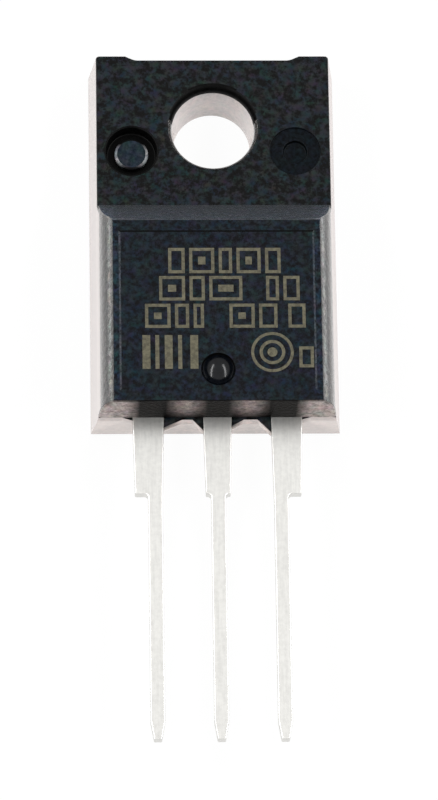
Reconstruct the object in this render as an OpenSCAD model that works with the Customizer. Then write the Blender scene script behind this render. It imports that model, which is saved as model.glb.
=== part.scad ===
// Three-lead voltage regulator in a fully moulded, insulated tab package.
// It lies on its flat back at Z = 0, with the marked face up. The origin is
// the axis of the screw hole on the back face, the tab end points along +Y
// and the leads point along -Y.

/* [Moulding] */
// Width across the back face
body_w = 10.2; // [9.8:0.05:10.6]
// Thickness of the tab, up to the front faces of the leads
tab_t = 2.6; // [2.5:0.05:2.8]
// Thickness of the marked half
body_t = 4.5; // [4.3:0.05:4.8]
// Hole centre to the tab end, at the back
tab_end = 3.35; // [3.1:0.05:3.6]
// Hole centre to the lead end, at the parting line
lead_end = 12.7; // [12.4:0.05:13]
// How far each side wall leans in from the back to the tab face
side_lean = 0.29; // [0:0.01:0.35]
// How far the tab end leans in from the back to the tab face
top_lean = 0.16; // [0:0.01:0.3]
// How far the lead end leans in from the parting line to the back
heel_lean = 0.2; // [0:0.01:0.35]

/* [Marked half] */
// Hole centre to the foot of the step
step_y = 3.45; // [3.2:0.05:3.8]
// Length of the step's slope along the part
step_run = 1.43; // [1:0.01:1.6]
// Ledge left on each side of the marked half
ledge_w = 0.05; // [0.03:0.01:0.2]
// How far each side bevel runs in
side_bevel = 0.52; // [0.3:0.01:0.6]
// How far the bevel above the leads runs in
end_bevel = 0.06; // [0:0.01:0.3]
// Height of the raised marking panel
panel_rise = 0.03; // [0.02:0.01:0.06]
// Margin of the panel from the sides of the marked face
panel_side = 0.32; // [0.2:0.01:0.6]
// Margin of the panel from the step and from the lead end
panel_end = 0.42; // [0.2:0.01:0.6]

/* [Tab end] */
// Depth of the shallow notch between the two ears
notch_depth = 0.2; // [0.1:0.01:0.3]
// Half width of the notch at its floor
notch_half_w = 3.2; // [2.6:0.05:3.4]
// Length of the notch's sloping ends
notch_run = 0.45; // [0.2:0.05:0.6]

/* [Screw hole] */
// Diameter of the straight bore
hole_d = 3.2; // [3:0.05:3.3]
// Length of the straight bore from the back
bore_l = 1.4; // [1.2:0.05:1.6]
// How far the hole widens by draft above the straight bore
hole_draft = 0.1; // [0.05:0.01:0.15]
// Width of the rounded lip at the front
lip_w = 0.23; // [0.1:0.01:0.3]
// Depth of the rounded lip
lip_h = 0.3; // [0.2:0.01:0.4]

/* [Mould marks] */
// Distance of each tab mark from the hole's centre line
mark_x = 3.37; // [3.3:0.01:3.5]
// Distance of the tab marks below the hole centre
mark_y = 1.05; // [0.8:0.05:1.3]
// Radius of the tab marks
mark_r = 1.03; // [0.8:0.01:1.1]
// Depth of the ring groove of the deep mark
groove_h = 0.6; // [0.5:0.05:0.7]
// Radius of the post inside the deep mark
post_r = 0.69; // [0.5:0.01:0.75]
// Depth of the post's top below the tab face
post_drop = 0.33; // [0.2:0.01:0.45]
// Depth of the shallow mark
dish_h = 0.1; // [0.05:0.01:0.2]
// Radius of the small hole in the shallow mark
dimple_r = 0.48; // [0.3:0.01:0.6]
// Depth of that small hole below the shallow mark
dimple_h = 0.2; // [0.1:0.01:0.3]
// Radius of the pit's mouth on the marked face
pit_r = 0.7; // [0.5:0.01:0.8]
// Depth of the pit
pit_h = 0.5; // [0.3:0.01:0.6]
// Distance of the pit from the lead end
pit_y = 1.39; // [1.2:0.01:1.8]

/* [Leads] */
// Distance between neighbouring leads
pitch = 2.54; // [2.5:0.01:2.6]
// Thickness of the lead metal
lead_t = 0.5; // [0.45:0.01:0.6]
// Width of the thin part of a lead
lead_w = 0.58; // [0.5:0.01:0.7]
// Hole centre to the shoulders
shoulder_y = 15.95; // [15.5:0.05:16.4]
// Hole centre to the tips
tip_y = 26.25; // [25:0.05:27.3]
// Length of the taper at a tip
tip_l = 0.75; // [0.4:0.05:1]
// Width of a tip's end
tip_w = 0.32; // [0.2:0.01:0.45]
// Radius in the corner under a shoulder
shoulder_r = 0.15; // [0.05:0.01:0.2]
// Width of the middle lead at the moulding
mid_w = 1.16; // [1:0.01:1.3]
// Reach of an outer lead's outer flank from its centre line, at the moulding
outer_reach = 0.9; // [0.8:0.01:1]
// Reach of an outer lead's inner flank from its centre line, at the moulding
inner_reach = 0.38; // [0.33:0.01:0.45]
// How far each flank draws in from the moulding down to the shoulder
flank_draw = 0.08; // [0:0.01:0.1]

/* [Resin left in the lead plane] */
// Widest spread of the resin beside a lead
web_w = 0.72; // [0.4:0.01:0.78]
// Drop of the resin beside a lead, where it is longest
web_h = 0.7; // [0.3:0.01:0.9]

/* [Inside] */
// Resin between the die pad and the back face
back_cover = 0.6; // [0.45:0.05:0.7]
// Resin between the die pad and the side walls
side_cover = 0.75; // [0.5:0.05:1]
// Resin between the die pad and the screw hole
hole_cover = 0.9; // [0.7:0.05:1.1]
// Distance of the die pad's upper end below the hole centre
pad_top = 0.25; // [0:0.05:0.6]
// Distance of the die pad's lower end from the lead end
pad_foot = 2.6; // [2.4:0.05:2.8]
// Straight stretch of a lead inside the moulding
neck_l = 0.35; // [0.2:0.05:0.5]
// Distance from the lead end to a bond post's full width
flare_l = 0.75; // [0.6:0.05:0.9]
// Distance from the lead end to the bend of the middle lead's strip
bend_start = 0.9; // [0.7:0.05:1.1]
// Width of the strip that joins the middle lead to the die pad
link_w = 1.5; // [1.2:0.05:1.7]
// Length of the bond posts inside the moulding
bond_l = 1.9; // [1.7:0.05:2.1]
// Clearance between a bond post and the strip beside it
bond_gap = 0.6; // [0.4:0.05:0.7]
// Width of a bond post
bond_w = 2.1; // [1.8:0.05:2.2]
// Side of the square silicon die
die_side = 2.4; // [2:0.05:2.8]
// Thickness of the silicon die
die_t = 0.28; // [0.2:0.01:0.35]
// Hole centre to the middle of the die
die_y = 7; // [6.6:0.05:7.3]
// Thickness of the solder under the die
solder_t = 0.06; // [0.04:0.01:0.1]
// Margin of the solder around the die
solder_edge = 0.12; // [0.05:0.01:0.2]
// Diameter of a bond wire
wire_d = 0.25; // [0.15:0.01:0.3]
// Rise of a bond wire's loop above its chord
wire_rise = 0.8; // [0.5:0.05:0.9]
// Thickness of a bond wire's foot
foot_t = 0.2; // [0.16:0.01:0.24]
// Length of a bond wire's foot
foot_l = 0.5; // [0.35:0.05:0.6]

/* [Hidden] */
$fn = 96;

resin = [0.11, 0.12, 0.13];
tinned = [0.85, 0.85, 0.83];
solder_grey = [0.6, 0.61, 0.62];
silicon = [0.3, 0.33, 0.4];
aluminium = [0.82, 0.83, 0.85];

cut = 1;                              // spare length of a cutting shape
lead_z = tab_t - lead_t;              // back faces of the leads, and the parting line
tab_half_w = body_w / 2 - side_lean;
base_half_w = tab_half_w - ledge_w;
face_half_w = base_half_w - side_bevel;
field_z = body_t - panel_rise;        // marked face around the panel
face_top = -step_y - step_run;
face_foot = -lead_end + end_bevel;
tab_top = tab_end - top_lean;         // tab end at the tab face
bore_r = hole_d / 2;
pit_centre_y = -lead_end + pit_y;

pad_half_w = body_w / 2 - side_cover;
pad_z = back_cover + lead_t;          // face that carries the die
pad_foot_y = -lead_end + pad_foot;
post_top_y = -lead_end + bond_l;
post_in = link_w / 2 + bond_gap;      // inner edge of a bond post
die_z = pad_z + solder_t;
die_top = die_z + die_t;
foot_w = wire_d * 1.2;
bite = 0.3;                           // how far the lead-plane resin runs under a lead's flank
neck_y = -lead_end + neck_l;
wide_y = -lead_end + flare_l;         // where a bond post has its full width
bend_y = -lead_end + bend_start;      // where the strip starts to bend down
bend_lap = 0.1;                       // flat lap of the strip at each end of the bend
bend_slip = 0.15;                     // set-back of the bend's upper edges
ground_rise = 0.5;                    // rise of the ground wire's loop
ground_reach = 1.4;                   // landing of the ground wire beside the die
lip_share = 0.3;                      // where the rounded lip's middle corner lies
power_seat = 0.27;                    // bond pads on the die, as shares of its side
ground_seat = [0.2, 0.3];

// A four-sided prism whose outline is given in the part's YZ plane.
module across(outline, half_w) {
    translate([-half_w, 0, 0])
        rotate([90, 0, 90])
            linear_extrude(2 * half_w) polygon(outline);
}

// The same for an outline in the XZ plane, between two places along Y.
module along(outline, from_y, to_y) {
    translate([0, to_y, 0])
        rotate([90, 0, 0])
            linear_extrude(to_y - from_y) polygon(outline);
}

// Tab and back half: side walls that spread towards the back.
module back_half() {
    w = body_w / 2;
    intersection() {
        across([
            [-lead_end + heel_lean, 0], [tab_end, 0], [tab_top, tab_t],
            [-lead_end, tab_t], [-lead_end, lead_z]
        ], w);
        along([[-w, 0], [w, 0], [tab_half_w, tab_t], [-tab_half_w, tab_t]], -lead_end, tab_end);
    }
}

// Marked half: the step, the side bevels and the bevel above the leads.
module front_half() {
    intersection() {
        across([
            [-lead_end, tab_t], [-step_y, tab_t],
            [face_top, field_z], [face_foot, field_z]
        ], base_half_w);
        along([
            [-base_half_w, tab_t], [base_half_w, tab_t],
            [face_half_w, field_z], [-face_half_w, field_z]
        ], -lead_end, -step_y);
    }
}

module marking_panel() {
    w = face_half_w - panel_side;
    from_y = face_foot + panel_end;
    translate([-w, from_y, field_z])
        cube([2 * w, face_top - panel_end - from_y, panel_rise]);
}

// Shallow notch between the ears, leaning as the tab end does.
module tab_notch() {
    lean = atan(top_lean / tab_t);
    translate([0, tab_top, tab_t])
        rotate([lean, 0, 0])
            translate([0, 0, -tab_t - cut])
                linear_extrude(tab_t + 2 * cut)
                    polygon([
                        [-notch_half_w, -notch_depth], [notch_half_w, -notch_depth],
                        [notch_half_w + notch_run, 0], [notch_half_w + notch_run, cut],
                        [-notch_half_w - notch_run, cut], [-notch_half_w - notch_run, 0]
                    ]);
}

// Screw hole: a straight bore, a drafted stretch and an opened lip.
module screw_hole() {
    throat_r = bore_r + hole_draft;
    lip_z = tab_t - lip_h;
    translate([0, 0, -cut]) cylinder(h = bore_l + cut, r = bore_r);
    rotate_extrude()
        polygon([
            [0, bore_l], [bore_r, bore_l], [throat_r, lip_z],
            [throat_r + lip_w * lip_share, tab_t - lip_h * lip_share],
            [throat_r + lip_w, tab_t], [throat_r + lip_w, tab_t + cut], [0, tab_t + cut]
        ]);
}

// Deep ring mark with a post, on the left of the tab.
module deep_mark() {
    translate([-mark_x, -mark_y, tab_t])
        difference() {
            translate([0, 0, -groove_h]) cylinder(h = groove_h + cut, r = mark_r);
            translate([0, 0, -groove_h - cut])
                cylinder(h = groove_h + cut - post_drop, r = post_r);
        }
}

// Shallow dished mark with a small hole, on the right of the tab.
module shallow_mark() {
    translate([mark_x, -mark_y, tab_t]) {
        translate([0, 0, -dish_h]) cylinder(h = dish_h + cut, r = mark_r);
        translate([0, 0, -dish_h - dimple_h]) cylinder(h = dish_h + dimple_h + cut, r = dimple_r);
    }
}

// Round-bottomed pit on the marked face: a ball that meets the mouth's circle.
module pit() {
    ball_r = (pit_r * pit_r + pit_h * pit_h) / (2 * pit_h);
    translate([0, pit_centre_y, body_t + ball_r - pit_h]) sphere(r = ball_r);
}

// Resin left between and beside the leads: spread and drop as shares of the largest.
module web(flank_x, side, spread, drop) {
    translate([0, 0, lead_z])
        linear_extrude(lead_t)
            polygon([
                [flank_x - side * bite, -lead_end + cut],
                [flank_x + side * web_w * spread, -lead_end + cut],
                [flank_x + side * web_w * spread, -lead_end],
                [flank_x, -lead_end - web_h * drop],
                [flank_x - side * bite, -lead_end - web_h * drop]
            ]);
}

module lead_plane_resin() {
    web(-pitch - outer_reach + flank_draw, -1, 0.7, 0.22);
    web(-pitch + inner_reach - flank_draw, 1, 1, 0.5);
    web(-mid_w / 2 + flank_draw, -1, 0.75, 0.85);
    web(mid_w / 2 - flank_draw, 1, 0.85, 0.55);
    web(pitch - inner_reach + flank_draw, -1, 1, 1);
    web(pitch + outer_reach - flank_draw, 1, 0.6, 0.16);
}

module moulded_body() {
    color(resin)
        difference() {
            union() {
                back_half();
                front_half();
                marking_panel();
                lead_plane_resin();
            }
            tab_notch();
            screw_hole();
            deep_mark();
            shallow_mark();
            pit();
            ground_lead();
            input_lead();
            output_lead();
            die_solder();
            silicon_die();
            input_wire();
            output_wire();
            ground_wire();
        }
}

// Rounded inside corner under a shoulder, as points for a lead's outline.
function under_shoulder(side) = [
    for (a = [0 : 15 : 90])
        [side * (lead_w / 2 + shoulder_r * (1 - sin(a))), -shoulder_y - shoulder_r * (1 - cos(a))]
];

function mirrored(points) = [for (i = [len(points) - 1 : -1 : 0]) [-points[i][0], points[i][1]]];

// Thin part of a lead, from its tip up to the shoulder.
function tip_half() = [
    [tip_w / 2, -tip_y],
    [lead_w / 2, -tip_y + tip_l]
];

// One half of the middle lead's outline, then its mirror image.
function middle_outline() =
    let (half = concat(
        tip_half(),
        [for (i = [6 : -1 : 0]) under_shoulder(1)[i]],
        [[mid_w / 2 - flank_draw, -shoulder_y], [mid_w / 2, -lead_end]],
        [[link_w / 2, neck_y], [link_w / 2, bend_y]]
    ))
    concat(half, mirrored(half));

// An outer lead, with its bond post reaching out from the inner edge post_in.
function outer_outline() = concat(
    tip_half(),
    [for (i = [6 : -1 : 0]) under_shoulder(1)[i]],
    [
        [outer_reach - flank_draw, -shoulder_y],
        [outer_reach, -lead_end],
        [outer_reach, neck_y],
        [post_in + bond_w - pitch, wide_y],
        [post_in + bond_w - pitch, post_top_y],
        [post_in - pitch, post_top_y],
        [post_in - pitch, wide_y],
        [-inner_reach, neck_y],
        [-inner_reach, -lead_end],
        [-inner_reach + flank_draw, -shoulder_y],
        [-lead_w / 2, -shoulder_y - shoulder_r],
        [-lead_w / 2, -tip_y + tip_l],
        [-tip_w / 2, -tip_y]
    ]
);

module outer_lead() {
    translate([pitch, 0, lead_z])
        linear_extrude(lead_t) polygon(outer_outline());
}

// Die pad, opened around the screw hole, and the strip bent up to the lead.
module die_pad() {
    difference() {
        translate([-pad_half_w, pad_foot_y, back_cover])
            cube([2 * pad_half_w, -pad_top - pad_foot_y, lead_t]);
        translate([0, 0, back_cover - cut]) cylinder(h = lead_t + 2 * cut, r = bore_r + hole_cover);
    }
    across([
        [bend_y - bend_lap, lead_z], [bend_y, lead_z], [pad_foot_y, back_cover],
        [pad_foot_y + bend_slip, back_cover], [pad_foot_y + bend_slip, pad_z],
        [bend_y + bend_slip, tab_t], [bend_y - bend_lap, tab_t]
    ], link_w / 2);
}

module ground_lead() {
    color(tinned) {
        translate([0, 0, lead_z]) linear_extrude(lead_t) polygon(middle_outline());
        die_pad();
    }
}

module input_lead() {
    color(tinned) mirror([1, 0, 0]) outer_lead();
}

module output_lead() {
    color(tinned) outer_lead();
}

module die_solder() {
    side = die_side + 2 * solder_edge;
    color(solder_grey)
        translate([-side / 2, -die_y - side / 2, pad_z]) cube([side, side, solder_t]);
}

module silicon_die() {
    color(silicon)
        translate([-die_side / 2, -die_y - die_side / 2, die_z]) cube([die_side, die_side, die_t]);
}

// A bond wire between two seats: a flat foot on each and an arc between them.
module bond_wire(seat_a, seat_b, rise) {
    run = [seat_b[0] - seat_a[0], seat_b[1] - seat_a[1]];
    turn = atan2(run[1], run[0]);
    climb = atan2(seat_b[2] - seat_a[2], norm(run));
    chord = norm(seat_b - seat_a);
    arc_r = chord * chord / (8 * rise) + rise / 2;
    half_angle = asin(chord / 2 / arc_r);
    for (seat = [seat_a, seat_b])
        translate(seat)
            rotate([0, 0, turn])
                translate([-foot_l / 2, -foot_w / 2, 0]) cube([foot_l, foot_w, foot_t]);
    translate(seat_a + [0, 0, foot_t])
        rotate([0, 0, turn])
            rotate([0, -climb, 0])
                translate([chord / 2, 0, rise - arc_r])
                    rotate([90, 0, 0])
                        rotate([0, 0, 90 - half_angle])
                            rotate_extrude(angle = 2 * half_angle)
                                translate([arc_r, 0]) circle(d = wire_d, $fn = 32);
}

// Both power wires run from the die to the middle of a bond post.
module power_wire() {
    color(aluminium)
        bond_wire(
            [die_side * power_seat, -die_y - die_side * power_seat, die_top],
            [post_in + bond_w / 2, post_top_y - foot_l, tab_t],
            wire_rise
        );
}

module input_wire() {
    mirror([1, 0, 0]) power_wire();
}

module output_wire() {
    power_wire();
}

// The ground wire drops from the die to the pad beside it.
module ground_wire() {
    color(aluminium)
        bond_wire(
            [die_side * ground_seat[0], -die_y + die_side * ground_seat[1], die_top],
            [die_side / 2 + ground_reach, -die_y + die_side * ground_seat[1], pad_z],
            ground_rise
        );
}

moulded_body();
ground_lead();
input_lead();
output_lead();
die_solder();
silicon_die();
input_wire();
output_wire();
ground_wire();
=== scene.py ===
import math

import bmesh
import bpy
from mathutils import Matrix, Vector


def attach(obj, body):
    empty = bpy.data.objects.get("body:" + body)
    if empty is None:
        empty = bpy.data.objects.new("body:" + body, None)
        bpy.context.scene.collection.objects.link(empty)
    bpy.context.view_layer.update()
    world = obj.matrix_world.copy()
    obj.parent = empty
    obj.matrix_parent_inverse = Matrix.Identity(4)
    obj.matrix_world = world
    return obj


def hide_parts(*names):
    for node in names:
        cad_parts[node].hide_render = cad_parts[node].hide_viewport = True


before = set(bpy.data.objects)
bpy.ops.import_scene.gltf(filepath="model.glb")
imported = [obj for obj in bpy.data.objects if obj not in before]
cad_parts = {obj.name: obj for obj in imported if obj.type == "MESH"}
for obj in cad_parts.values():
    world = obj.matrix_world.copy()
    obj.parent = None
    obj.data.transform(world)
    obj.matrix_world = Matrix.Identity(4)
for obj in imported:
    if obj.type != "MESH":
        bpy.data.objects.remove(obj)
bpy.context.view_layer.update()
mm = 0.001  # pieces are modelled in millimetres and scaled down once
hair = 0.01  # heights nearer than this count as one
weld = 1e-4  # points nearer than this become one
scene = bpy.context.scene


# Mesh helpers, all in millimetres.
def pushFaces(bm, faces, push):
    pushed = bmesh.ops.extrude_face_region(bm, geom=faces)["geom"]
    moving = [part for part in pushed if isinstance(part, bmesh.types.BMVert)]
    bmesh.ops.translate(bm, vec=push, verts=moving)
    bmesh.ops.recalc_face_normals(bm, faces=bm.faces)


def prism(corners, push):
    bm = bmesh.new()
    face = bm.faces.new([bm.verts.new(corner) for corner in corners])
    pushFaces(bm, [face], push)
    return bm


def turned(profile, centre, steps=96):
    bm = bmesh.new()
    verts = [bm.verts.new((radius, 0, height)) for radius, height in profile]
    edges = [bm.edges.new(pair) for pair in zip(verts, verts[1:])]
    bmesh.ops.spin(
        bm, geom=verts + edges, cent=(0, 0, 0), axis=(0, 0, 1),
        angle=math.tau, steps=steps, use_merge=True,
    )
    bmesh.ops.remove_doubles(bm, verts=bm.verts, dist=weld)
    bmesh.ops.recalc_face_normals(bm, faces=bm.faces)
    bmesh.ops.translate(bm, vec=centre, verts=bm.verts)
    return bm


def bevelEdges(bm, edges, radius, segments):
    bmesh.ops.bevel(
        bm, geom=edges, offset=radius, offset_type="OFFSET", segments=segments,
        profile=0.5, affect="EDGES", material=-1, clamp_overlap=True,
    )


def roundEdges(bm, picked, radius, segments):
    edges = [edge for edge in bm.edges if picked(*(vert.co for vert in edge.verts))]
    bevelEdges(bm, edges, radius, segments)


def placed(name, bm):
    mesh = bpy.data.meshes.new(name)
    bm.to_mesh(mesh)
    bm.free()
    piece = bpy.data.objects.new(name, mesh)
    scene.collection.objects.link(piece)
    return piece


def baked(piece):
    bpy.context.view_layer.update()
    graph = bpy.context.evaluated_depsgraph_get()
    old = piece.data
    made = bpy.data.meshes.new_from_object(piece.evaluated_get(graph))
    piece.modifiers.clear()
    piece.data = made
    bpy.data.meshes.remove(old)


def carve(piece, bm, operation="DIFFERENCE"):
    tool = placed("tool", bm)
    change = piece.modifiers.new("carve", "BOOLEAN")
    change.object = tool
    change.operation = operation
    change.solver = "MANIFOLD"
    baked(piece)
    bpy.data.meshes.remove(tool.data)


def withoutSlivers(piece):
    bm = bmesh.new()
    bm.from_mesh(piece.data)
    bmesh.ops.remove_doubles(bm, verts=bm.verts, dist=2 * weld)
    bmesh.ops.dissolve_degenerate(bm, dist=2 * weld, edges=bm.edges)
    bm.to_mesh(piece.data)
    bm.free()


def nodeCopy(name):
    bm = bmesh.new()
    bm.from_mesh(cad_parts[name].data)
    bmesh.ops.scale(bm, vec=(1 / mm, 1 / mm, 1 / mm), verts=bm.verts)
    bmesh.ops.remove_doubles(bm, verts=bm.verts, dist=weld)
    return bm


def shadeCrisp(piece, angle=35):
    piece.data.shade_smooth()
    piece.data.set_sharp_from_angle(angle=math.radians(angle))
    weigh = piece.modifiers.new("weigh", "WEIGHTED_NORMAL")
    weigh.keep_sharp = True
    baked(piece)


def toMetres(piece):
    piece.data.transform(Matrix.Scale(mm, 4))


# Material helpers: noise, ramps and fades on Object coordinates in millimetres.
def shaderTree(name):
    material = bpy.data.materials.new(name)
    material.use_nodes = True
    tree = material.node_tree
    return material, tree, tree.nodes["Principled BSDF"]


def addNode(tree, kind, inputs=None, **settings):
    node = tree.nodes.new(kind)
    for key, value in settings.items():
        setattr(node, key, value)
    for key, value in (inputs or {}).items():
        if isinstance(value, bpy.types.NodeSocket):
            tree.links.new(value, node.inputs[key])
        else:
            node.inputs[key].default_value = value
    return node


def millimetres(tree, stretch=(1, 1, 1)):
    place = addNode(tree, "ShaderNodeTexCoord")
    scaled = addNode(
        tree, "ShaderNodeMapping",
        {"Vector": place.outputs["Object"], "Scale": [part / mm for part in stretch]},
    )
    return scaled.outputs["Vector"]


def maths(tree, operation, first, second=0.0):
    return addNode(tree, "ShaderNodeMath", {0: first, 1: second}, operation=operation).outputs[0]


def noise(tree, where, scale, texture, output="Fac"):
    detail, roughness = texture
    grain = addNode(
        tree, "ShaderNodeTexNoise",
        {"Vector": where, "Scale": scale, "Detail": detail, "Roughness": roughness},
    )
    return grain.outputs[output]


def ramp(tree, value, stops):
    colours = addNode(tree, "ShaderNodeValToRGB", {"Fac": value})
    elements = colours.color_ramp.elements
    while len(elements) < len(stops):
        elements.new(0.5)
    for element, (at, colour) in zip(elements, stops):
        element.position = at
        element.color = (*colour, 1)
    return colours.outputs["Color"]


def setSockets(shader, values):
    for key, value in values.items():
        shader.inputs[key].default_value = value


def addBumps(tree, shader, height, strength, depth):
    raised = addNode(
        tree, "ShaderNodeBump",
        {"Height": height, "Strength": strength, "Distance": depth * mm},
    )
    tree.links.new(raised.outputs["Normal"], shader.inputs["Normal"])


def reachAlong(tree, where, axis):
    # "facing" is the Layer Weight's Facing: a fade on it keeps a pale base only where the surface is seen
    # at a low angle, a painted glancing reflection.
    if axis == "facing":
        return addNode(tree, "ShaderNodeLayerWeight", {"Blend": 0.5}).outputs["Facing"]
    parts = addNode(tree, "ShaderNodeSeparateXYZ", {"Vector": where})
    if axis in ("Y", "Z"):
        return parts.outputs[axis]
    across = maths(tree, "ABSOLUTE", parts.outputs["X"])
    if axis == "X":
        return across
    half = leadPitch / 2  # "lead": distance from the nearest lead's middle
    return maths(tree, "PINGPONG", maths(tree, "MINIMUM", across, 3 * half), half)


# What the resin finishes share: noises as (detail, roughness), how far red, green
# and blue drift, and how far the roughness swings.
resin = {
    "spread": 0.14, "speckle": (5, 0.75), "grain": (3, 0.65), "cast": (2, 0.5),
    "driftShares": (1.3, 0.8, 0.65), "roughSwing": 0.05,
}


# Speckled tone from dark to pale, times a slow colour drift, times the fades, which paint highlights, shade
# and glancing reflections into the colour.
def resinColour(tree, where, speckle, look):
    spread = look.get("spread", resin["spread"])
    tone = ramp(tree, speckle, [(0.5 - spread, look["dark"]), (0.5 + spread, look["pale"])])
    cast = noise(tree, where, look["cast"], resin["cast"], "Color")
    sway = [look["drift"] * share for share in resin["driftShares"]]
    drift = addNode(
        tree, "ShaderNodeVectorMath",
        {0: cast, 1: sway, 2: [1 - part / 2 for part in sway]}, operation="MULTIPLY_ADD",
    )
    tinted = addNode(tree, "ShaderNodeVectorMath", {0: tone, 1: drift.outputs[0]}, operation="MULTIPLY")
    for axis, low, high, start, end in look.get("fades", []):
        shade = addNode(
            tree, "ShaderNodeMapRange",
            {"Value": reachAlong(tree, where, axis), "From Min": low, "From Max": high,
             "To Min": start, "To Max": end},
        )
        tinted = addNode(
            tree, "ShaderNodeVectorMath",
            {0: tinted.outputs[0], "Scale": shade.outputs["Result"]}, operation="SCALE",
        )
    return tinted.outputs[0]


def resinFinish(name, look):
    material, tree, shader = shaderTree(name)
    where = millimetres(tree)
    speckle = noise(tree, where, look["speckle"], resin["speckle"])
    tree.links.new(resinColour(tree, where, speckle, look), shader.inputs["Base Color"])
    grain = noise(tree, where, look["grain"], resin["grain"])
    addBumps(tree, shader, grain, look["bump"], look["depth"])
    rough = addNode(
        tree, "ShaderNodeMapRange",
        {"Value": speckle, "From Min": 0.3, "From Max": 0.7,
         "To Min": look["rough"] - resin["roughSwing"], "To Max": look["rough"] + resin["roughSwing"]},
    )
    tree.links.new(rough.outputs["Result"], shader.inputs["Roughness"])
    setSockets(shader, look["sockets"])
    return material


fineGrain = (3, 0.6)


# Metal and marking: two tones over a noise that also makes the bumps.
def grainedFinish(name, look):
    material, tree, shader = shaderTree(name)
    grain = noise(tree, millimetres(tree), look["scale"], fineGrain)
    if "streaks" in look:
        streaks = noise(tree, millimetres(tree, look["streaks"]), 1.0, fineGrain)
        both = addNode(tree, "ShaderNodeMix", {0: 0.5, 2: streaks, 3: grain}, data_type="FLOAT")
        grain = both.outputs[0]
    tree.links.new(ramp(tree, grain, look["tones"]), shader.inputs["Base Color"])
    addBumps(tree, shader, grain, look["bump"], look["depth"])
    setSockets(shader, look["sockets"])
    return material


# The moulding: back half, marked half, raised panel and the resin beside the leads.
leadPitch = 2.54
moulding = {
    "halfWidth": 5.1, "sideLean": 0.29, "thick": 2.6, "parting": 2.1,
    "tabEnd": 3.35, "tabLean": 0.16, "leadEnd": 12.7, "heelLean": 0.2,
    "cornerRound": 0.14, "rimRound": 0.05, "backRound": 0.07,
}
markedHalf = {
    "stepFoot": 3.45, "faceTop": 4.83, "faceFoot": 12.64, "foot": 12.7, "top": 4.47, "buried": 2.3,
    "sideCurve": [
        (2.3, 4.8445), (3.07, 4.778), (3.36, 4.735), (3.53, 4.695), (3.69, 4.65), (3.84, 4.59),
        (3.99, 4.51), (4.17, 4.39), (4.3, 4.32), (4.4, 4.26), (4.47, 4.215),
    ],
    "rimRound": 0.1, "sideRound": 0.12, "footCorner": 0.12, "stepCorner": 0.12,
}
panel = {"halfWidth": 3.975, "top": 5.3, "foot": 12.22, "height": 4.5, "slope": 0.08, "buried": 4.3}
tabNotch = {"depth": 0.2, "halfWidth": 3.2, "run": 0.45, "round": 0.12}


def cutAcross(bm, point, normal):
    everything = list(bm.verts) + list(bm.edges) + list(bm.faces)
    bmesh.ops.bisect_plane(bm, geom=everything, dist=1e-5, plane_co=point, plane_no=normal)


def leanSides(bm, reachAt):
    for vert in bm.verts:
        vert.co.x = math.copysign(reachAt(vert.co.z), vert.co.x)


def backHalf(size):
    y0, y1 = -size["leadEnd"], size["tabEnd"]
    outline = [
        (y0 + size["heelLean"], 0), (y1, 0), (y1 - size["tabLean"], size["thick"]),
        (y0, size["thick"]), (y0, size["parting"]),
    ]
    bm = prism([(-1, y, z) for y, z in outline], (2, 0, 0))
    leanSides(bm, lambda z: size["halfWidth"] - size["sideLean"] * z / size["thick"])

    def tabCorner(a, b):
        return min(a.y, b.y) > 0 and abs(a.z - b.z) > 1

    def backRim(a, b):
        return max(a.z, b.z) < hair

    def tabRim(a, b):
        return min(a.z, b.z) > size["thick"] - hair and max(a.y, b.y) > y0 + hair

    roundEdges(bm, tabCorner, size["cornerRound"], 5)
    roundEdges(bm, backRim, size["backRound"], 3)
    roundEdges(bm, tabRim, size["rimRound"], 2)
    return bm


def frontHalf(size, base):
    slope = (size["faceTop"] - size["stepFoot"]) / (size["top"] - base["thick"])
    under = base["thick"] - size["buried"]
    outline = [  # from the foot, round by the step
        (-size["foot"], size["buried"]), (-size["stepFoot"] + slope * under, size["buried"]),
        (-size["faceTop"], size["top"]), (-size["faceFoot"], size["top"]),
        (-size["foot"], base["thick"]),
    ]
    bm = prism([(-1, y, z) for y, z in outline], (2, 0, 0))
    curve = size["sideCurve"]
    for height, _ in curve[1:-1]:
        cutAcross(bm, (0, 0, height), (0, 0, 1))

    def reach(z):
        for (z0, x0), (z1, x1) in zip(curve, curve[1:]):
            if z <= z1 + 1e-6:
                return x0 + (x1 - x0) * (z - z0) / (z1 - z0)

    leanSides(bm, reach)
    top = size["top"] - hair

    def upright(a, b):
        return abs(a.z - b.z) > 0.1 and a.x * b.x > 0

    def stepCorner(a, b):
        return upright(a, b) and a.y > -size["faceTop"] - 1 and (a.y - b.y) * (a.z - b.z) < 0

    def footCorner(a, b):
        return upright(a, b) and max(a.y, b.y) < 0.1 - size["foot"]

    def acrossRim(a, b):
        return min(a.z, b.z) > top and abs(a.y - b.y) < 1

    def sideRim(a, b):
        return min(a.z, b.z) > top and abs(a.y - b.y) > 1

    roundEdges(bm, stepCorner, size["stepCorner"], 5)
    roundEdges(bm, footCorner, size["footCorner"], 3)
    roundEdges(bm, acrossRim, size["rimRound"], 4)
    roundEdges(bm, sideRim, size["sideRound"], 5)
    for side in (-1, 1):
        cutAcross(bm, (side * leadPitch, 0, 0), (1, 0, 0))
    return bm


def markingPanel(size):
    w, y0, y1 = size["halfWidth"], -size["foot"], -size["top"]
    corners = [(-w, y0), (w, y0), (w, y1), (-w, y1)]
    rise = markedHalf["top"] - size["buried"]
    bm = prism([(x, y, size["buried"]) for x, y in corners], (0, 0, rise))
    roof = max(bm.faces, key=lambda face: face.calc_center_median().z)
    bmesh.ops.inset_region(bm, faces=[roof], thickness=size["slope"], use_even_offset=True)
    bmesh.ops.translate(bm, vec=(0, 0, size["height"] - markedHalf["top"]), verts=roof.verts)
    return bm


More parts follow.
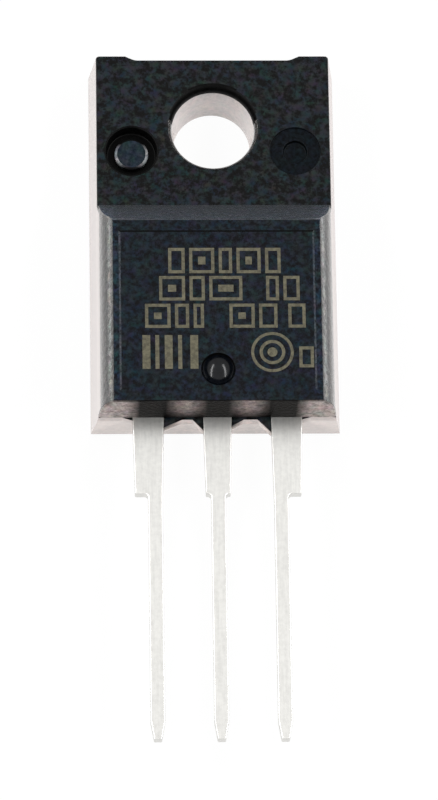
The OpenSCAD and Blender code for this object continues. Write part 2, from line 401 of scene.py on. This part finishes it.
def notchTool(size, base):
    w, run, deep, spare = size["halfWidth"], size["run"], size["depth"], 1
    corners = [
        (-w, -deep), (w, -deep), (w + run, 0),
        (w + run, spare), (-w - run, spare), (-w - run, 0),
    ]
    bm = prism([(x, y, -spare) for x, y in corners], (0, 0, base["thick"] + 2 * spare))
    roundEdges(bm, lambda a, b: abs(a.z - b.z) > 1 and max(a.y, b.y) < hair, size["round"], 4)
    for vert in bm.verts:
        vert.co.y += base["tabEnd"] - base["tabLean"] * vert.co.z / base["thick"]
    return bm


# Resin left in the lead plane: flank, side, spread and drop of each web.
leadResin = {
    "webs": [
        (-3.36, -1, 0.504, 0.154), (-2.24, 1, 1.04, 0.46), (-0.5, -1, 0.61, 0.62),
        (0.5, 1, 0.76, 0.42), (2.24, -1, 0.72, 0.7), (3.36, 1, 0.432, 0.112),
    ],
    "ledges": [(-2.3, -0.45), (0.45, 2.3)], "ledge": 0.1,
    "bite": 0.3, "back": 2.1, "thick": 0.5, "inside": 1.0,
}


def resinWeb(flank, side, spread, drop, size, base):
    end = -base["leadEnd"]
    near, far = flank - side * size["bite"], flank + side * spread
    corners = [
        (near, end + size["inside"]), (far, end + size["inside"]), (far, end),
        (flank, end - drop), (near, end - drop),
    ]
    return prism([(x, y, size["back"]) for x, y in corners], (0, 0, size["thick"]))


def resinLedge(x0, x1, size, base):
    inner, outer = -base["leadEnd"] + size["inside"], -base["leadEnd"] - size["ledge"]
    corners = [(x0, outer), (x1, outer), (x1, inner), (x0, inner)]
    return prism([(x, y, size["back"]) for x, y in corners], (0, 0, size["thick"]))


# Screw hole, ejector marks and pit, as turned cutters: (radius, height) profiles.
screwHole = {
    "bore": 1.6, "boreTop": 1.4, "throat": 1.7,
    "lipFoot": 2.18, "lipWide": 0.27, "lipHigh": 0.42,
}
deepMark = {
    "centre": (-3.37, -1.05, 0), "radius": 1.03, "floor": 2.0, "lip": 0.09,
    "post": 0.69, "postTop": 2.27, "postRound": 0.17, "postDrop": 0.06, "floorRound": 0.08,
}
shallowMark = {
    "centre": (3.37, -1.05, 0), "radius": 1.03, "floor": 2.5, "dimple": 0.48, "dimpleFloor": 2.3,
    "mouthRound": 0.05, "dimpleRound": 0.06, "dimpleBevel": 0.05, "wallBevel": (0.03, 0.02),
}
facePit = {"centre": (0, -11.31, 0), "radius": 0.7, "depth": 0.5}


def arc(cx, cz, rx, rz, fromDeg, toDeg, steps):
    turns = [math.radians(fromDeg + (toDeg - fromDeg) * k / steps) for k in range(steps + 1)]
    return [(cx + rx * math.cos(t), cz + rz * math.sin(t)) for t in turns]


def holeTool(size, top):
    edge = size["throat"] + size["lipWide"]
    lip = arc(edge, size["lipFoot"], size["lipWide"], size["lipHigh"], 180, 90, 7)
    bore = [(0, -1), (size["bore"], -1), (size["bore"], size["boreTop"])]
    return turned([*bore, *lip, (edge, top + 1), (0, top + 1)], (0, 0, 0), 128)


def deepMarkTool(size, top):
    r, lip, post, turn = size["radius"], size["lip"], size["post"], size["postRound"]
    fillet, drop = size["floorRound"], size["postDrop"]
    shoulder = arc(post - turn, size["postTop"] - drop, turn, drop, 90, 0, 8)
    mouth = arc(r + lip, top - lip, lip, lip, 180, 90, 5)
    corner = arc(r - fillet, size["floor"] + fillet, fillet, fillet, -90, 0, 4)
    profile = [(0, size["postTop"]), *shoulder, (post, size["floor"]), *corner, *mouth]
    return turned([*profile, (r + lip, top + 1), (0, top + 1)], size["centre"])


def shallowMarkTool(size, top):
    r, d, low, floor = size["radius"], size["dimple"], size["dimpleFloor"], size["floor"]
    lip, rim, bevel = size["mouthRound"], size["dimpleRound"], size["dimpleBevel"]
    inward, upward = size["wallBevel"]
    mouth = arc(r + lip, top - lip, lip, lip, 180, 90, 4)
    inner = arc(d + rim, floor - rim, rim, rim, 180, 90, 4)
    profile = [(0, low), (d - bevel, low), (d, low + bevel), *inner]
    profile += [(r - inward, floor), (r, floor + upward), *mouth, (r + lip, top + 1), (0, top + 1)]
    return turned(profile, size["centre"])


def pitTool(size, top):
    r, deep = size["radius"], size["depth"]
    ball = (r * r + deep * deep) / (2 * deep)
    half = math.degrees(math.asin(r / ball))
    bowl = arc(0, top - deep + ball, ball, ball, -90, -90 + half, 14)
    bowl[0] = (0, top - deep)
    return turned([*bowl, (r, top + 1), (0, top + 1)], size["centre"], 72)


def mouldedBody():
    body = placed("moulding", backHalf(moulding))
    carve(body, frontHalf(markedHalf, moulding), "UNION")
    carve(body, markingPanel(panel), "UNION")
    for flank, side, spread, drop in leadResin["webs"]:
        carve(body, resinWeb(flank, side, spread, drop, leadResin, moulding), "UNION")
    for x0, x1 in leadResin["ledges"]:
        carve(body, resinLedge(x0, x1, leadResin, moulding), "UNION")
    carve(body, notchTool(tabNotch, moulding))
    carve(body, holeTool(screwHole, moulding["thick"]))
    carve(body, deepMarkTool(deepMark, moulding["thick"]))
    carve(body, shallowMarkTool(shallowMark, moulding["thick"]))
    carve(body, pitTool(facePit, panel["height"]))
    for name in sorted(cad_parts):
        if name != "moulded_body":
            carve(body, nodeCopy(name))
    return body


body = mouldedBody()
withoutSlivers(body)
# Noise scales per millimetre, bump depths in millimetres. A fade is its axis,
# where it starts and ends, and the factor at each.
bodyFinishes = {
    "resinTab": {
        "speckle": 3.6, "cast": 2.5, "drift": 2.2, "grain": 6.0, "bump": 1.0, "depth": 0.03, "rough": 0.5,
        "dark": (0.0, 0.0, 0.0), "pale": (0.0098, 0.0137, 0.0164), "spread": 0.07,
        "sockets": {"IOR": 1.2},
    },
    # The X fade lightens the border beside the panel: a painted highlight.
    "resinFace": {
        "speckle": 4.5, "cast": 2.5, "drift": 2.0, "grain": 6.0, "bump": 1.0, "depth": 0.03, "rough": 0.5,
        "dark": (0.0, 0.0, 0.0008), "pale": (0.0068, 0.0118, 0.0178), "spread": 0.09,
        "fades": [("X", 3.97, 4.02, 1.0, 1.8)],
        "sockets": {"IOR": 1.2},
    },
    # The Z fade paints shade at the foot of the step, and the X fade paints light at its ends.
    "resinStep": {
        "speckle": 6.0, "cast": 3.0, "drift": 1.2, "grain": 6.0, "bump": 1.0, "depth": 0.02, "rough": 0.25,
        "dark": (0.0, 0.002, 0.004), "pale": (0.021, 0.026, 0.038),
        "fades": [("Z", 2.6, 4.3, 0.4, 1.2), ("X", 3.9, 4.6, 1.0, 2.8)],
        "sockets": {
            "IOR": 1.4, "Sheen Weight": 0.1, "Sheen Roughness": 0.4, "Sheen Tint": (0.9, 0.95, 1, 1),
        },
    },
    # Side walls: the pale base is kept only at low angles by the facing fade. This is a painted reflection
    # on top of the real coat and sheen.
    "resinWallPaintedReflection": {
        "speckle": 4.0, "cast": 2.0, "drift": 0.5, "grain": 8.0, "bump": 0.6, "depth": 0.01, "rough": 0.2,
        "dark": (0.012, 0.009, 0.008), "pale": (0.1, 0.08, 0.075),
        "fades": [("facing", 0.4, 0.8, 0.15, 1.0)],
        "sockets": {
            "IOR": 1.6, "Coat Weight": 1.0, "Coat IOR": 1.5, "Coat Roughness": 0.12,
            "Sheen Weight": 1.0, "Sheen Roughness": 0.4, "Sheen Tint": (1, 0.9, 0.87, 1),
        },
    },
    # Wall below the leads: a warm pale base kept at low angles by the facing fade is a painted reflection.
    # It is darker towards the ends.
    "resinHeelPaintedReflection": {
        "speckle": 4.0, "cast": 2.0, "drift": 0.5, "grain": 8.0, "bump": 0.6, "depth": 0.01, "rough": 0.2,
        "dark": (0.05, 0.025, 0.015), "pale": (0.34, 0.22, 0.17),
        "fades": [("facing", 0.3, 0.65, 0.1, 1.0), ("X", 2.7, 3.6, 1.0, 0.5)],
        "sockets": {
            "IOR": 1.6, "Coat Weight": 1.0, "Coat IOR": 1.5, "Coat Roughness": 0.12,
            "Sheen Weight": 1.0, "Sheen Roughness": 0.4, "Sheen Tint": (1, 0.87, 0.82, 1),
        },
    },
    # Hole wall: the pale base, kept at low angles by the facing fade, is a painted reflection of the white
    # floor.
    "resinBorePaintedReflection": {
        "speckle": 4.0, "cast": 2.0, "drift": 0.5, "grain": 8.0, "bump": 0.4, "depth": 0.01, "rough": 0.2,
        "dark": (0.28, 0.24, 0.23), "pale": (0.5, 0.43, 0.41),
        "fades": [("facing", 0.3, 0.62, 0.2, 1.0)],
        "sockets": {
            "IOR": 1.8, "Coat Weight": 1.0, "Coat IOR": 1.55, "Coat Roughness": 0.15,
            "Sheen Weight": 1.0, "Sheen Roughness": 0.45, "Sheen Tint": (1, 0.9, 0.86, 1),
        },
    },
    "resinSide": {
        "speckle": 4.0, "cast": 2.5, "drift": 0.8, "grain": 4.0, "bump": 1.0, "depth": 0.12, "rough": 0.22,
        "dark": (0.0, 0.0, 0.0), "pale": (0.035, 0.03, 0.028), "spread": 0.1,
        "sockets": {
            "IOR": 1.6, "Coat Weight": 1.0, "Coat IOR": 1.25, "Coat Roughness": 0.15,
            "Sheen Weight": 0.4, "Sheen Roughness": 0.35, "Sheen Tint": (1, 0.93, 0.9, 1),
        },
    },
    # Wall above the outer leads: the pale base is a painted reflection kept at low angles by the facing
    # fade. The lead fade paints shade above each lead, and the X fade makes it lighter towards the ends.
    "resinFootPaintedLight": {
        "speckle": 4.5, "cast": 2.5, "drift": 0.35, "grain": 6.0, "bump": 1.0, "depth": 0.05, "rough": 0.5,
        "dark": (0.15, 0.13, 0.122), "pale": (0.45, 0.39, 0.37),
        "fades": [
            ("lead", 0.62, 1.15, 0.02, 1.0), ("X", 3.6, 4.8, 0.9, 1.3), ("facing", 0.3, 0.62, 0.2, 1.0),
        ],
        "sockets": {"IOR": 1.12},
    },
    # Wall above the middle leads: the pale base is a painted reflection kept at low angles by the facing
    # fade. The lead fade paints shade above each lead, and the Z fade makes it darker towards the bottom.
    "resinGapPaintedLight": {
        "speckle": 4.5, "cast": 2.5, "drift": 0.35, "grain": 6.0, "bump": 1.0, "depth": 0.05, "rough": 0.5,
        "dark": (0.1, 0.083, 0.08), "pale": (0.34, 0.285, 0.27),
        "fades": [
            ("lead", 0.42, 1.15, 0.02, 1.0), ("Z", 2.65, 3.6, 0.1, 1.0), ("facing", 0.3, 0.62, 0.2, 1.0),
        ],
        "sockets": {"IOR": 1.12},
    },
    "resinPolished": {
        "speckle": 6.0, "cast": 2.5, "drift": 0.5, "grain": 6.0, "bump": 0.15, "depth": 0.006, "rough": 0.4,
        "dark": (0.0002, 0.0002, 0.0002), "pale": (0.002, 0.002, 0.002),
        "sockets": {"IOR": 1.14},
    },
    "resinGloss": {
        "speckle": 6.0, "cast": 2.5, "drift": 0.5, "grain": 6.0, "bump": 0.2, "depth": 0.01, "rough": 0.17,
        "dark": (0.0, 0.0003, 0.001), "pale": (0.002, 0.003, 0.005),
        "sockets": {"IOR": 1.34},
    },
    # Rim of the deep mark's post: a pale base left only at its left and right by the Y fades is a painted
    # glint.
    "resinRimPaintedGlint": {
        "speckle": 6.0, "cast": 2.5, "drift": 0.5, "grain": 6.0, "bump": 0.15, "depth": 0.006, "rough": 0.4,
        "dark": (0.1, 0.105, 0.115), "pale": (0.3, 0.31, 0.33),
        "fades": [("Y", -1.65, -1.3, 0.01, 1.0), ("Y", -0.95, -0.6, 1.0, 0.01)],
        "sockets": {"IOR": 1.14},
    },
    # Upper edge of the long sides: a pale line set by the X fades is a painted highlight.
    "resinRidgePaintedHighlight": {
        "speckle": 4.5, "cast": 2.5, "drift": 0.8, "grain": 4.0, "bump": 1.0, "depth": 0.1, "rough": 0.22,
        "dark": (0.0, 0.0, 0.0), "pale": (0.24, 0.235, 0.225), "spread": 0.1,
        "fades": [("X", 4.22, 4.33, 0.02, 1.0), ("X", 4.36, 4.45, 1.0, 0.15)],
        "sockets": {"IOR": 1.6, "Coat Weight": 1.0, "Coat IOR": 1.25, "Coat Roughness": 0.15},
    },
    # Side slopes of the panel: the paler base is partly a painted highlight, besides the slopes' real
    # gloss.
    "resinEdge": {
        "speckle": 8.0, "cast": 2.5, "drift": 1.0, "grain": 8.0, "bump": 1.0, "depth": 0.03, "rough": 0.45,
        "dark": (0.0, 0.002, 0.004), "pale": (0.046, 0.054, 0.067),
        "sockets": {"IOR": 1.3},
    },
    "resinDish": {
        "speckle": 6.0, "cast": 2.5, "drift": 1.0, "grain": 6.0, "bump": 0.3, "depth": 0.01, "rough": 0.4,
        "dark": (0.0, 0.0, 0.0), "pale": (0.004, 0.007, 0.01),
        "sockets": {"IOR": 1.15},
    },
    "resinPost": {
        "speckle": 6.0, "cast": 2.5, "drift": 1.2, "grain": 6.0, "bump": 0.3, "depth": 0.01, "rough": 0.4,
        "dark": (0.0, 0.004, 0.008), "pale": (0.016, 0.024, 0.032),
        "sockets": {"IOR": 1.2},
    },
}


# Where the finishes change: distances, heights and the normals of flat faces.
zones = {
    "hole": 2.05, "tabSkin": 2.599, "markLip": 0.1, "markFloor": 1.9, "markSkin": 2.598,
    "panelSkin": 4.499, "panelFoot": 4.471, "slopeFoot": 2.59, "wallTop": 2.61,
    "ridge": 3.98, "halves": 3, "tabFlat": 0.9, "faceFlat": 0.995, "level": 0.99,
}


def awayFrom(mark, centre):
    x, y, _ = mark["centre"]
    return math.hypot(centre.x - x, centre.y - y)


def markFinish(centre, normal):
    if centre.x > 0:  # the shallow mark
        return "resinDish" if normal.z > 0.2 else "resinPolished"
    away = awayFrom(deepMark, centre)
    if away > deepMark["post"]:
        return "resinPolished"
    if normal.z > zones["level"]:
        return "resinPost"
    return "resinRimPaintedGlint" if away > deepMark["post"] - deepMark["postRound"] else "resinPolished"


def lipFinish(normal):
    if normal.y < -0.15:  # the half that faces the leads
        return "resinPolished"
    return "resinTab" if normal.z > 0.75 else "resinSide"


def panelFinish(normal):
    if normal.y > 0.2:  # the panel's edge towards the tab
        return "resinPolished"
    return "resinEdge" if abs(normal.x) > 0.2 else "resinFace"


def slopeFinish(centre, normal):
    if normal.y < -0.6:  # above the leads
        return "resinGapPaintedLight" if abs(centre.x) < leadPitch else "resinFootPaintedLight"
    if abs(normal.x) > 0.25:  # the long sides
        if centre.z > zones["ridge"]:
            return "resinRidgePaintedHighlight"
        return "resinWallPaintedReflection" if abs(normal.x) > 0.985 else "resinSide"
    if normal.y > 0.5:
        return "resinStep"
    return "resinFace"


def finishOf(centre, normal):
    if centre.z < zones["tabSkin"] and math.hypot(centre.x, centre.y) < zones["hole"]:
        return lipFinish(normal) if centre.z > screwHole["lipFoot"] else "resinBorePaintedReflection"
    for mark in (deepMark, shallowMark):
        near = awayFrom(mark, centre) < mark["radius"] + zones["markLip"]
        if near and zones["markFloor"] < centre.z < zones["markSkin"]:
            return markFinish(centre, normal)
    if awayFrom(facePit, centre) < facePit["radius"] and centre.z < zones["panelSkin"]:
        return "resinGloss" if normal.z > 0.5 else "resinPolished"
    if centre.z > zones["panelFoot"] and normal.z < zones["level"]:
        return panelFinish(normal)
    high = centre.z > zones["halves"]
    if centre.z > zones["slopeFoot"] and normal.z < zones["faceFlat" if high else "tabFlat"]:
        return slopeFinish(centre, normal)
    if centre.z < zones["wallTop"] and abs(normal.z) < 0.6:
        return "resinHeelPaintedReflection" if normal.y < -0.6 else "resinWallPaintedReflection"
    return "resinFace" if high else "resinTab"


def dressBody(piece):
    names = list(bodyFinishes)
    piece.data.materials.clear()
    for name in names:
        piece.data.materials.append(resinFinish(name, bodyFinishes[name]))
    for polygon in piece.data.polygons:
        polygon.material_index = names.index(finishOf(polygon.center, polygon.normal))


dressBody(body)
shadeCrisp(body)
toMetres(body)
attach(body, "root")
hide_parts("moulded_body")
print("moulding done:", len(body.data.polygons), "faces")


# Leads: the solids' own outlines with sheared edges rounded over.
leadEdges = {"round": 0.045, "segments": 3, "inside": 2.95, "flat": 2, "sharp": 40}
tinLook = {
    "scale": 5.0, "streaks": (9, 0.8, 9),
    "tones": [(0.3, (0.63, 0.623, 0.6)), (0.6, (0.76, 0.752, 0.723))],
    "bump": 0.4, "depth": 0.01, "sockets": {"Metallic": 1.0, "Roughness": 0.35},
}


def tinnedLead(name, finish, size):
    bm = nodeCopy(name)
    flat, sharp = math.radians(size["flat"]), math.radians(size["sharp"])
    bmesh.ops.dissolve_limit(bm, angle_limit=flat, verts=bm.verts, edges=bm.edges)
    limit = size["inside"] - moulding["leadEnd"]
    edges = []
    for edge in bm.edges:
        low = max(vert.co.y for vert in edge.verts) < limit
        if low and edge.calc_face_angle(0) > sharp:
            edges.append(edge)
    bevelEdges(bm, edges, size["round"], size["segments"])
    lead = placed(name.replace("_lead", "Lead"), bm)
    lead.data.materials.clear()
    lead.data.materials.append(finish)
    shadeCrisp(lead)
    toMetres(lead)
    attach(lead, "root")
    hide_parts(name)


tin = grainedFinish("mattTin", tinLook)
for name in ("input_lead", "ground_lead", "output_lead"):
    tinnedLead(name, tin, leadEdges)
print("leads done")


# Inner pieces keep their solids and get their own finish.
innerFinishes = {
    "dullSolder": {
        "scale": 4.0, "tones": [(0.3, (0.4, 0.41, 0.42)), (0.7, (0.6, 0.61, 0.62))],
        "bump": 0.4, "depth": 0.01, "sockets": {"Metallic": 1.0, "Roughness": 0.45},
    },
    "polishedSilicon": {
        "scale": 2.0, "tones": [(0.3, (0.08, 0.09, 0.13)), (0.7, (0.12, 0.13, 0.19))],
        "bump": 0.4, "depth": 0.001, "sockets": {"Metallic": 0.6, "Roughness": 0.15},
    },
    "drawnAluminium": {
        "scale": 12.0, "tones": [(0.3, (0.72, 0.73, 0.75)), (0.7, (0.86, 0.87, 0.88))],
        "bump": 0.4, "depth": 0.004, "sockets": {"Metallic": 1.0, "Roughness": 0.3},
    },
}
innerPieces = {
    "die_solder": "dullSolder", "silicon_die": "polishedSilicon", "input_wire": "drawnAluminium",
    "output_wire": "drawnAluminium", "ground_wire": "drawnAluminium",
}
innerMaterials = {name: grainedFinish(name, look) for name, look in innerFinishes.items()}
for name, finish in innerPieces.items():
    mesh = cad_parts[name].data
    mesh.materials.clear()
    mesh.materials.append(innerMaterials[finish])
print("inner pieces done")


# Plain shapes in the places of the laser marking; rings are (radius, stroke).
marking = {
    "z": 4.504, "thick": 0.012, "stroke": 0.13, "wide": 0.9, "inset": (0.36, 0.38),
    "ringCentre": (2.19, -10.59), "rings": [(0.86, 0.12), (0.52, 0.13), (0.2, 0)],
    "lastBox": (3.27, 3.86, -11.25, -10.35),
    "bars": [(-3.05, -2.73), (-2.53, -2.37), (-2.15, -1.83), (-1.61, -1.45), (-1.12, -0.8)],
    "barReach": (-11.3, -9.85),
    "lines": [
        (-6.08, -7.18, [(-1.97, -1.3), (-1.12, -0.1), (0.08, 0.62), (0.8, 1.78), (1.96, 2.59)]),
        (-7.3, -8.36, [(-2.35, -1.3), (-1.12, -0.5), (-0.32, 1.02), (1.98, 2.5), (2.68, 3.34)]),
        (-8.5, -9.54, [
            (-2.93, -1.9), (-1.72, -1.15), (-0.97, -0.55), (0.48, 1.5), (1.68, 2.42), (2.86, 3.56),
        ]),
    ],
}
markingLook = {
    "scale": 7.0, "tones": [(0.3, (0.045, 0.041, 0.027)), (0.7, (0.115, 0.106, 0.069))],
    "bump": 0.5, "depth": 0.01, "sockets": {"Roughness": 0.7, "IOR": 1.35},
}


def hollowOut(bm, corners, stroke):
    if not stroke:
        return
    face = corners[0].link_faces[0]
    bmesh.ops.inset_region(bm, faces=[face], thickness=stroke, use_even_offset=True, use_boundary=True)
    bmesh.ops.delete(bm, geom=[face], context="FACES")


def box(bm, x0, x1, y0, y1, stroke=0):
    corners = bmesh.ops.create_grid(bm, x_segments=1, y_segments=1, size=0.5)["verts"]
    bmesh.ops.scale(bm, vec=(x1 - x0, y1 - y0, 1), verts=corners)
    bmesh.ops.translate(bm, vec=((x0 + x1) / 2, (y0 + y1) / 2, 0), verts=corners)
    hollowOut(bm, corners, stroke)


def ring(bm, centre, radius, stroke, steps=48):
    rim = bmesh.ops.create_circle(bm, segments=steps, radius=radius, cap_ends=True)["verts"]
    bmesh.ops.translate(bm, vec=(*centre, 0), verts=rim)
    hollowOut(bm, rim, stroke)


def laserMarking(size):
    bm = bmesh.new()
    inX, inY = size["inset"]
    for top, bottom, cells in size["lines"]:
        for x0, x1 in cells:
            box(bm, x0, x1, bottom, top, size["stroke"])
            if x1 - x0 > size["wide"]:
                box(bm, x0 + inX, x1 - inX, bottom + inY, top - inY)
    for x0, x1 in size["bars"]:
        box(bm, x0, x1, *size["barReach"])
    for radius, stroke in size["rings"]:
        ring(bm, size["ringCentre"], radius, stroke)
    box(bm, *size["lastBox"], size["stroke"])
    pushFaces(bm, list(bm.faces), (0, 0, size["thick"]))
    bmesh.ops.translate(bm, vec=(0, 0, size["z"] - size["thick"]), verts=bm.verts)
    return bm


marks = placed("laserMarking", laserMarking(marking))
marks.data.materials.append(grainedFinish("laserMark", markingLook))
toMetres(marks)
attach(marks, "root")
print("marking done")


# Floor, world and lights.
studio = {
    "floorSize": 4.0, "floorDrop": 0.00002, "floorColour": 0.88, "floorGlow": 0.96,
    "skyFill": 0.54, "stripPower": 1.1, "stripSize": (0.04, 0.6), "stripPlace": (0.24, 0.1, 0.24),
    "stripYaw": 15,
}


def backgroundRays(tree, cameraShare):
    rays = addNode(tree, "ShaderNodeLightPath").outputs
    seen = maths(tree, "MULTIPLY", rays["Is Camera Ray"], cameraShare)
    mirrored = maths(tree, "MAXIMUM", seen, rays["Is Glossy Ray"])
    return maths(tree, "MAXIMUM", mirrored, rays["Is Transmission Ray"])


def whiteFloor(look):
    bm = bmesh.new()
    bmesh.ops.create_grid(bm, x_segments=1, y_segments=1, size=look["floorSize"] / 2)
    bmesh.ops.translate(bm, vec=(0, 0, -look["floorDrop"]), verts=bm.verts)
    floor = placed("floor", bm)
    material, tree, shader = shaderTree("whiteTable")
    white = (*[look["floorColour"]] * 3, 1)
    setSockets(shader, {"Base Color": white, "Roughness": 0.9, "Specular IOR Level": 0.1})
    glow = addNode(tree, "ShaderNodeEmission", {"Color": (1, 1, 1, 1), "Strength": 1.0})
    mix = addNode(
        tree, "ShaderNodeMixShader",
        {0: backgroundRays(tree, look["floorGlow"]), 1: shader.outputs[0], 2: glow.outputs[0]},
    )
    tree.links.new(mix.outputs[0], tree.nodes["Material Output"].inputs["Surface"])
    floor.data.materials.append(material)


def whiteSky(look):
    world = bpy.data.worlds.new("whiteTent")
    scene.world = world
    world.use_nodes = True
    tree = world.node_tree
    fill = tree.nodes["Background"]
    setSockets(fill, {"Color": (1, 1, 1, 1), "Strength": look["skyFill"]})
    bright = addNode(tree, "ShaderNodeBackground", {"Color": (1, 1, 1, 1), "Strength": 1.0})
    mix = addNode(
        tree, "ShaderNodeMixShader",
        {0: backgroundRays(tree, 1.0), 1: fill.outputs[0], 2: bright.outputs[0]},
    )
    tree.links.new(mix.outputs[0], tree.nodes["World Output"].inputs["Surface"])


def stripLights(look):
    x, y, z = look["stripPlace"]
    for side in (-1, 1):
        data = bpy.data.lights.new("sideStrip", "AREA")
        data.shape = "RECTANGLE"
        data.size, data.size_y = look["stripSize"]
        data.energy = look["stripPower"]
        strip = bpy.data.objects.new("sideStrip", data)
        scene.collection.objects.link(strip)
        yaw = Matrix.Rotation(-side * math.radians(look["stripYaw"]), 4, "Z")
        lean = Matrix.Rotation(side * math.atan2(x, z), 4, "Y")
        strip.matrix_world = Matrix.Translation((side * x, y, z)) @ yaw @ lean


whiteFloor(studio)
whiteSky(studio)
stripLights(studio)
scene.view_settings.view_transform = "Standard"


# Camera: a long lens from the lead side, about twenty degrees off the vertical.
shot = {
    "tilt": 19.8674, "pan": 2.1582, "roll": 0.873, "focal": 5855.2, "imageHeight": 800,
    "target": (0.1739, -11.0116, 0), "distance": 239.98, "sensor": 36, "clip": (0.01, 50),
}


def shotCamera(look):
    tilt, pan, roll = (math.radians(look[key]) for key in ("tilt", "pan", "roll"))
    lean = Matrix.Rotation(-tilt, 3, "X") @ Matrix.Rotation(pan, 3, "Y")
    toCamera = Matrix.Rotation(roll, 3, "Z") @ lean
    turn = toCamera.transposed()
    data = bpy.data.cameras.new("shot")
    data.sensor_width = look["sensor"]
    data.lens = look["focal"] * look["sensor"] / look["imageHeight"]
    data.clip_start, data.clip_end = look["clip"]
    camera = bpy.data.objects.new("shot", data)
    scene.collection.objects.link(camera)
    away = turn @ Vector((0, 0, look["distance"]))
    camera.matrix_world = Matrix.Translation((Vector(look["target"]) + away) * mm) @ turn.to_4x4()
    scene.camera = camera


shotCamera(shot)
